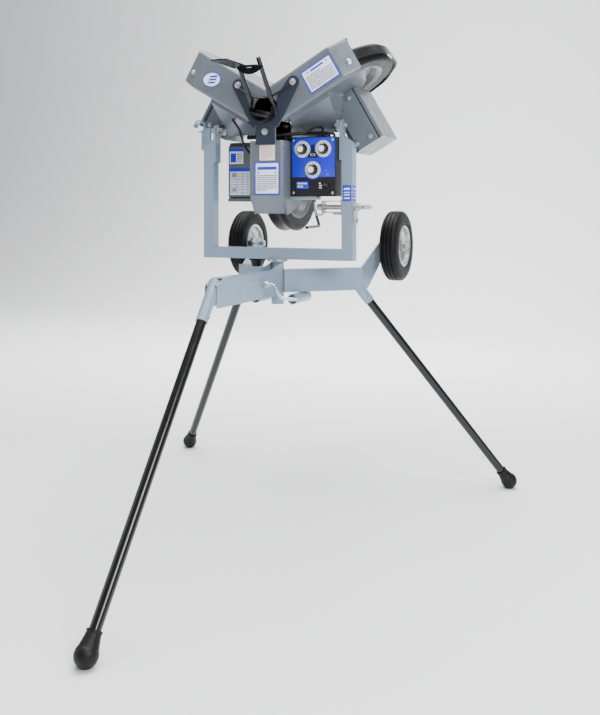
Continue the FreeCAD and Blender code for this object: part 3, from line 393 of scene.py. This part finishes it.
def text_lines(piece, x0, x1, z_top, z_low, count, y, look, along_z=False):
    """Rows of short bars that stand for print; along_z reads upwards, with x and z swapped."""
    pitch = (z_top - z_low) / count
    for row in range(count):
        top = z_top - pitch * (row + 0.2)
        low = top - pitch * 0.5
        x = x0
        step = 0
        while x < x1 - 3:
            length = (6.0, 9.0, 4.5, 11.0, 7.0)[(row * 3 + step) % 5]
            if row == count - 1 and x > (x0 + x1) / 2:
                break
            end = min(x + length, x1)
            if along_z:
                piece.block(low, top, y, y + 0.3, x, end, look)
            else:
                piece.block(x, end, y, y + 0.3, low, top, look)
            x = end + 1.6
            step += 1


def label(piece, x0, x1, z0, z1, y, border):
    """White label with a blue border, on a face at y that looks towards -y."""
    sticker(piece, x0, x1, z0, z1, y)
    bar(piece, x0, x1, z0, z0 + border, y, out=0.7)
    bar(piece, x0, x1, z1 - border, z1, y, out=0.7)
    bar(piece, x0, x0 + border, z0 + border, z1 - border, y, out=0.7)
    bar(piece, x1 - border, x1, z0 + border, z1 - border, y, out=0.7)


def triangle(piece, x, z, size, y, spin=0):
    piece.prism(oval(x, z, size, size, y, (90 + spin, 210 + spin, 330 + spin)), (0, -0.3, 0),
                "blue_ink")


def make_labels():
    """Generic stickers: no words, only plain shapes and bars."""
    y = COVER_FACE_Y
    low = Piece("labels_lower_housing", "head")
    x0, x1, z0, z1 = -40, 50, 1076, 1184
    label(low, x0, x1, z0, z1, y, 4.5)
    bar(low, x0 + 10, x1 - 10, z1 - 26, z1 - 16, y)
    for x in (x0 + 14, x1 - 14):
        triangle(low, x, z1 - 35, 5, y - 0.5)
    text_lines(low, x0 + 8, x1 - 8, z1 - 42, z0 + 12, 8, y - 0.8, "grey_ink")
    x0, x1, z0, z1 = -22, 33, 1189, 1238
    sticker(low, x0, x1, z0, z1, y, "pink")
    text_lines(low, x0 + 6, x1 - 5, z1 - 4, z0 + 5, 6, y - 0.8, "pink_ink")
    low.done()

    right = Piece("label_upper_right", "head", module_matrix("upper_right"))
    x0, x1, z0, z1 = -36, 43, 162, 277
    label(right, x0, x1, z0, z1, y, 4.0)
    bar(right, x0 + 10, x0 + 16, z0 + 34, z1 - 31, y)
    for z in (z0 + 22, z1 - 19):
        triangle(right, x0 + 12, z, 4.5, y - 0.5, 90)
    text_lines(right, z0 + 10, z1 - 9, x1 - 9, x0 + 22, 8, y - 0.8, "grey_ink", along_z=True)
    right.done()

    badge = Piece("badge_upper_left", "head")
    x, z = -200.6, 1465
    around = [7.5 * k for k in range(48)]
    badge.prism(oval(x, z, 35, 26, y, around), (0, -0.4, 0), "blue_ink")
    badge.prism(oval(x, z, 31.5, 22.5, y, around), (0, -0.7, 0), "white")
    for k in range(3):
        x, z = -218 + 5 * k, 1455 + 10 * k
        stripe = [(x, z - 3), (x + 28, z - 3), (x + 32, z + 3), (x + 4, z + 3)]
        badge.prism(flat(stripe, y), (0, -0.95, 0), "blue_ink")
    badge.done()

    motor = Piece("labels_motor_cover", "head")
    y = MOTOR_FACE_Y
    x0, x1, z0, z1 = -203, -150, 1187, 1241
    sticker(motor, x0, x1, z0, z1, y)
    bar(motor, x0, x1, z1 - 11, z1, y)
    bar(motor, x0 + 4, x0 + 25, z0 + 5, z1 - 17, y)
    text_lines(motor, x0 + 29, x1 - 4, z1 - 17, z0 + 5, 4, y - 0.8, "grey_ink")
    x1, z0, z1 = -112, 1078, 1172
    sticker(motor, x0, x1, z0, z1, y)
    bar(motor, x0, x1, z1 - 12, z1, y)
    for row in range(8):
        z = z1 - 22 - row * 9
        bar(motor, x0, x1, z, z + 1.2, y, out=0.75)
    for x in (x0, -176, -154, -133, x1 - 1.2):
        bar(motor, x, x + 1.2, z0, z1 - 12, y, out=0.75)
    motor.done()

    yoke = Piece("labels_upright", "yoke")
    face, side = -TUBE_HALF, YOKE_X + TUBE_HALF
    z0, z1 = 1055, 1107
    yoke.block(YOKE_X - 14.5, YOKE_X + 14.5, face - 0.6, face + 0.2, z0, z1, "blue_ink", 0.2)
    yoke.block(side - 0.4, side + 0.5, -13, 13, z0, z1, "blue_ink", 0.2)
    for z, tall in ((1063, 4), (1074, 3), (1082, 3), (1092, 6)):
        yoke.block(YOKE_X - 10, YOKE_X + 10, face - 0.9, face, z, z + tall, "white")
        yoke.block(side, side + 0.8, -9, 9, z, z + tall, "white")
    yoke.done()


# ---------------------------------------------------------------- controls
def make_panel():
    """The speed panel's print, its dials' rings and marks, screws whose slots are painted shade,
    and switch surround.
    """
    y = PANEL_FACE_Y
    panel = Piece("panel_face", "head")
    panel.block(70, 221, y - 0.6, y + 0.3, 1134, 1263, "panel_blue", 0.3)
    x, z = KNOBS["lower"]
    panel.prism(oval(x, z, 32, 32, y, range(190, 351, 8)), (0, -0.75, 0), "panel_blue")
    arrow = [(128, 1197), (160, 1197), (170, 1222), (150, 1216), (150, 1240), (138, 1240),
             (138, 1216), (118, 1222)]
    panel.prism(flat(arrow, y), (0, -0.9, 0), "panel_black")
    panel.block(136, 152, y - 1.3, y, 1203, 1211, "ring", 0.2)
    panel.block(138, 150, y - 1.5, y, 1204.2, 1209.8, "panel_black")
    for x, z in KNOBS.values():
        panel.prism(oval(x, z, 27.5, 27.5, y, range(0, 360, 6)), (0, -1.2, 0), "ring")
        for k in range(11):
            angle = math.radians(225 - 27 * k)
            cx, cz = x + 23.6 * math.cos(angle), z + 23.6 * math.sin(angle)
            size = 2.6 if k % 5 == 0 else 1.7
            panel.block(cx - size / 3, cx + size / 3, y - 1.5, y - 1.1, cz - size, cz + size,
                        "panel_black", turn=Matrix.Rotation(math.pi / 2 - angle, 4, "Y"))
    dome = [(0, 0), (0, 4.6), (1.4, 4.2), (2.4, 2.6), (2.7, 0)]
    for x, z in ((75, 1256), (213, 1255), (75, 1083), (213, 1082)):
        panel.lathe(dome, (x, y - 0.6, z), (0, -1, 0), "zinc", 24)
        # Painted shade: each screw's slot is a thin black bar laid over the zinc dome, in place of
        # a groove.
        panel.block(x - 3, x + 3, y - 3.5, y - 3.1, z - 0.5, z + 0.5, "panel_black",
                    turn=Matrix.Rotation(math.radians(35), 4, "Y"))
    panel.block(221.5, 225, y - 1.2, y + 3, 1074, 1264, "plastic", 1.0)
    panel.block(86, 128, y - 0.9, y + 0.2, 1096, 1120, "panel_blue", 0.4)
    text_lines(panel, 90, 124, 1118, 1098, 2, y - 1.2, "ring")
    text_lines(panel, 166, 176, 1117, 1095, 3, y - 0.9, "ring")
    for x0, x1, z0, z1 in ((178, 181, 1090, 1118), (197.5, 200.5, 1090, 1118),
                           (181, 197.5, 1115, 1118), (181, 197.5, 1090, 1093)):
        panel.block(x0, x1, y - 2.4, y, z0, z1, "knob", 0.7)
    panel.done()


def make_knob(name, x, z):
    """A skirted knob with sixteen grips, a white cap and its pointer."""
    y = PANEL_FACE_Y
    knob = Piece("dial_" + name, "speed_knob_" + name)
    skirt = [(0, 0), (0, 18), (-1.6, 18.4), (-3.6, 17.6), (-4.6, 15.4), (-5, 0)]
    knob.lathe(skirt, (x, y - 0.6, z), (0, 1, 0), "knob", 72)
    shape = bmesh.new()
    rings = []
    steps = 96
    for depth, radius in ((-4.6, 14.4), (-18.6, 13.3), (-19.8, 12.6), (-20.4, 11.0)):
        ring = []
        for k in range(steps):
            angle = 2 * math.pi * k / steps
            wave = 0.55 * (1 + math.cos(angle * 16)) if depth > -19 else 0.3
            r = radius - wave
            place = (x + r * math.cos(angle), y + depth, z + r * math.sin(angle))
            ring.append(shape.verts.new(place))
        rings.append(ring)
    for here, after in zip(rings, rings[1:]):
        for k in range(steps):
            j = (k + 1) % steps
            shape.faces.new((here[k], here[j], after[j], after[k]))
    shape.faces.new(rings[-1])
    bmesh.ops.recalc_face_normals(shape, faces=shape.faces)
    knob.add(shape, "knob")
    cap = [(0, 0), (0, 10.4), (-0.7, 10.2), (-1.0, 9.4), (-1.0, 0)]
    knob.lathe(cap, (x, y - 20.2, z), (0, 1, 0), "white", 48)
    knob.block(x - 0.8, x + 0.8, y - 21.6, y - 21, z + 4.5, z + 9.6, "panel_black")
    knob.block(x - 0.9, x + 0.9, y - 12, y - 4.4, z + 15.3, z + 17.6, "white", 0.2)
    knob.done("speed_knob_" + name)


# ---------------------------------------------------------------- fasteners and small fittings
def make_fasteners():
    bolts = Piece("head_screws", "head")
    for x, z in ((-99, 1440), (99, 1440), (0, 1283)):
        bolts.bolt((x, PLATE_FACE_Y, z), (0, -1, 0), 15, 7)
    bolts.done("head_bolts")
    for name, side, length, outer in (("lower", 1, 208, 297), ("upper_right", 1, 253, 267),
                                      ("upper_left", -1, 185, 267)):
        more = Piece("cover_screws_" + name, "head", module_matrix(name))
        for x in (83, length - 22):
            for r in (outer - 90, outer - 37):
                more.bolt((side * x, MOTOR_FACE_Y, r), (0, -1, 0), 11, 5)
        if name != "lower":
            more.bolt((side * 17, -76.4, 315), (0, -0.878, 0.48), 13, 6)
        more.done()


def bead(piece, start, end, radius=2.0):
    """A weld: overlapping drops along a line."""
    start, end = Vector(start), Vector(end)
    count = max(1, round((end - start).length / (radius * 1.15)))
    for k in range(count + 1):
        shape = bmesh.new()
        bmesh.ops.create_icosphere(shape, subdivisions=2, radius=radius,
                                   matrix=Matrix.Translation(start.lerp(end, k / count)))
        piece.add(shape, "grey_paint")


def make_welds():
    """Beads on the yoke's mitres and at both ends of the front arm."""
    yoke = Piece("welds_yoke", "yoke")
    base = Piece("welds_base", "base")
    corner = TUBE_HALF - 2
    face = TUBE_HALF - 0.4
    for side in (-1, 1):
        for y in (-face, face):
            bead(yoke, (side * (YOKE_X + corner), y, RAIL_Z - corner),
                 (side * (YOKE_X - corner), y, RAIL_Z + corner))
        bead(base, (side * 20.2, 0.8, 751), (side * 20.2, 0.8, 848))
        bead(base, (side * 19.4, -462.4, 748), (side * 19.4, -462.4, 809), 1.7)
    yoke.done()
    base.done()


def make_fittings():
    """Cable grommets, the strip under the speed controls and the crank's flange nut."""
    grommets = Piece("cable_grommets", "head")
    y, z = -60, 1269
    for x0, x1 in ((-84, -36.5), (36.5, 56)):
        grommets.rod((x0, y, z), (x1, y, z), 6.5, "rubber", 40, 1.2)
        for k in range(4):
            x = x0 + (x1 - x0) * (k + 0.5) / 4
            grommets.rod((x - 1.4, y, z), (x + 1.4, y, z), 8.6, "rubber", 40, 0.6)
    grommets.done()
    strip = Piece("control_box_strip", "head")
    strip.block(62, 155, -36, 6, 1060, 1071, "grey_paint", 0.6)
    strip.done()
    nut = Piece("crank_nut", "lock_crank")
    flange, head = (29.4, LOCK_Y, LOCK_Z), (31.6, LOCK_Y, LOCK_Z)
    nut.rod(flange, head, 13, "zinc", 48, 0.5)
    nut.hexagon(head, (1, 0, 0), 19, 9, 0.9, 12)
    nut.done()


# ---------------------------------------------------------------- stage, light and camera
def make_floor():
    """Pale floor that curves up into a wall; metres."""
    bend, start, near, top, side = 4.0, 4.5, -10.0, 14.0, 16
    profile = [(near, 0.0), (start, 0.0)]
    for k in range(1, 33):
        angle = math.radians(90 * k / 32)
        profile.append((start + bend * math.sin(angle), bend - bend * math.cos(angle)))
    profile.append((start + bend, top))
    points = [(x, y, z) for y, z in profile for x in (-side, side)]
    faces = [(2 * k, 2 * k + 1, 2 * k + 3, 2 * k + 2) for k in range(len(profile) - 1)]
    sweep = bpy.data.meshes.new("floor")
    sweep.from_pydata(points, [], faces)
    sweep.polygons.foreach_set("use_smooth", [True] * len(sweep.polygons))
    ground = bpy.data.objects.new("floor", sweep)
    bpy.context.scene.collection.objects.link(ground)
    pale = bpy.data.materials.new("pale_floor")
    pale.use_nodes = True
    shader = pale.node_tree.nodes["Principled BSDF"]
    shader.inputs["Base Color"].default_value = (0.82, 0.825, 0.84, 1)
    shader.inputs["Roughness"].default_value = 0.9
    sweep.materials.append(pale)


def make_light():
    """Soft daylight all round, a broad overhead lamp, a key, a fill and a wash on the wall."""
    world = bpy.data.worlds.new("studio")
    bpy.context.scene.world = world
    world.use_nodes = True
    background = world.node_tree.nodes["Background"]
    background.inputs["Color"].default_value = (0.9, 0.91, 0.94, 1)
    background.inputs["Strength"].default_value = 0.42

    def lamp(name, place, target, size, power):
        light = bpy.data.lights.new(name, "AREA")
        light.shape = "RECTANGLE"
        light.size, light.size_y = size
        light.energy = power
        obj = bpy.data.objects.new(name, light)
        bpy.context.scene.collection.objects.link(obj)
        obj.location = place
        aim = Vector(target) - Vector(place)
        obj.rotation_euler = aim.to_track_quat("-Z", "Y").to_euler()

    lamp("overhead", (0.2, 0.6, 4.6), (0.2, 0.6, 0), (4.5, 4.5), 560)
    lamp("key", (3.0, -2.4, 2.6), (0, 0.2, 1.1), (1.6, 1.6), 165)
    lamp("fill", (-3.2, -1.6, 1.6), (0, 0.2, 1.0), (2.0, 2.0), 22)
    lamp("wall", (-0.6, 2.2, 3.6), (-2.4, 8.0, 1.6), (4.0, 1.5), 620)


def make_camera():
    """The photograph's viewpoint, fitted: the camera is level, and shift frames it."""
    camera = bpy.data.cameras.new("camera")
    camera.sensor_fit = "HORIZONTAL"
    camera.sensor_width = 36
    camera.lens = 51.0
    camera.shift_y = -0.2525
    obj = bpy.data.objects.new("camera", camera)
    bpy.context.scene.collection.objects.link(obj)
    obj.location = (1.190, -2.380, 1.0395)
    obj.rotation_euler = Vector((-0.39, 0.92, 0)).to_track_quat("-Z", "Y").to_euler()
    bpy.context.scene.camera = obj


make_labels()
make_panel()
for knob_name, (knob_x, knob_z) in KNOBS.items():
    make_knob(knob_name, knob_x, knob_z)
make_fasteners()
make_welds()
make_fittings()
make_floor()
make_light()
make_camera()
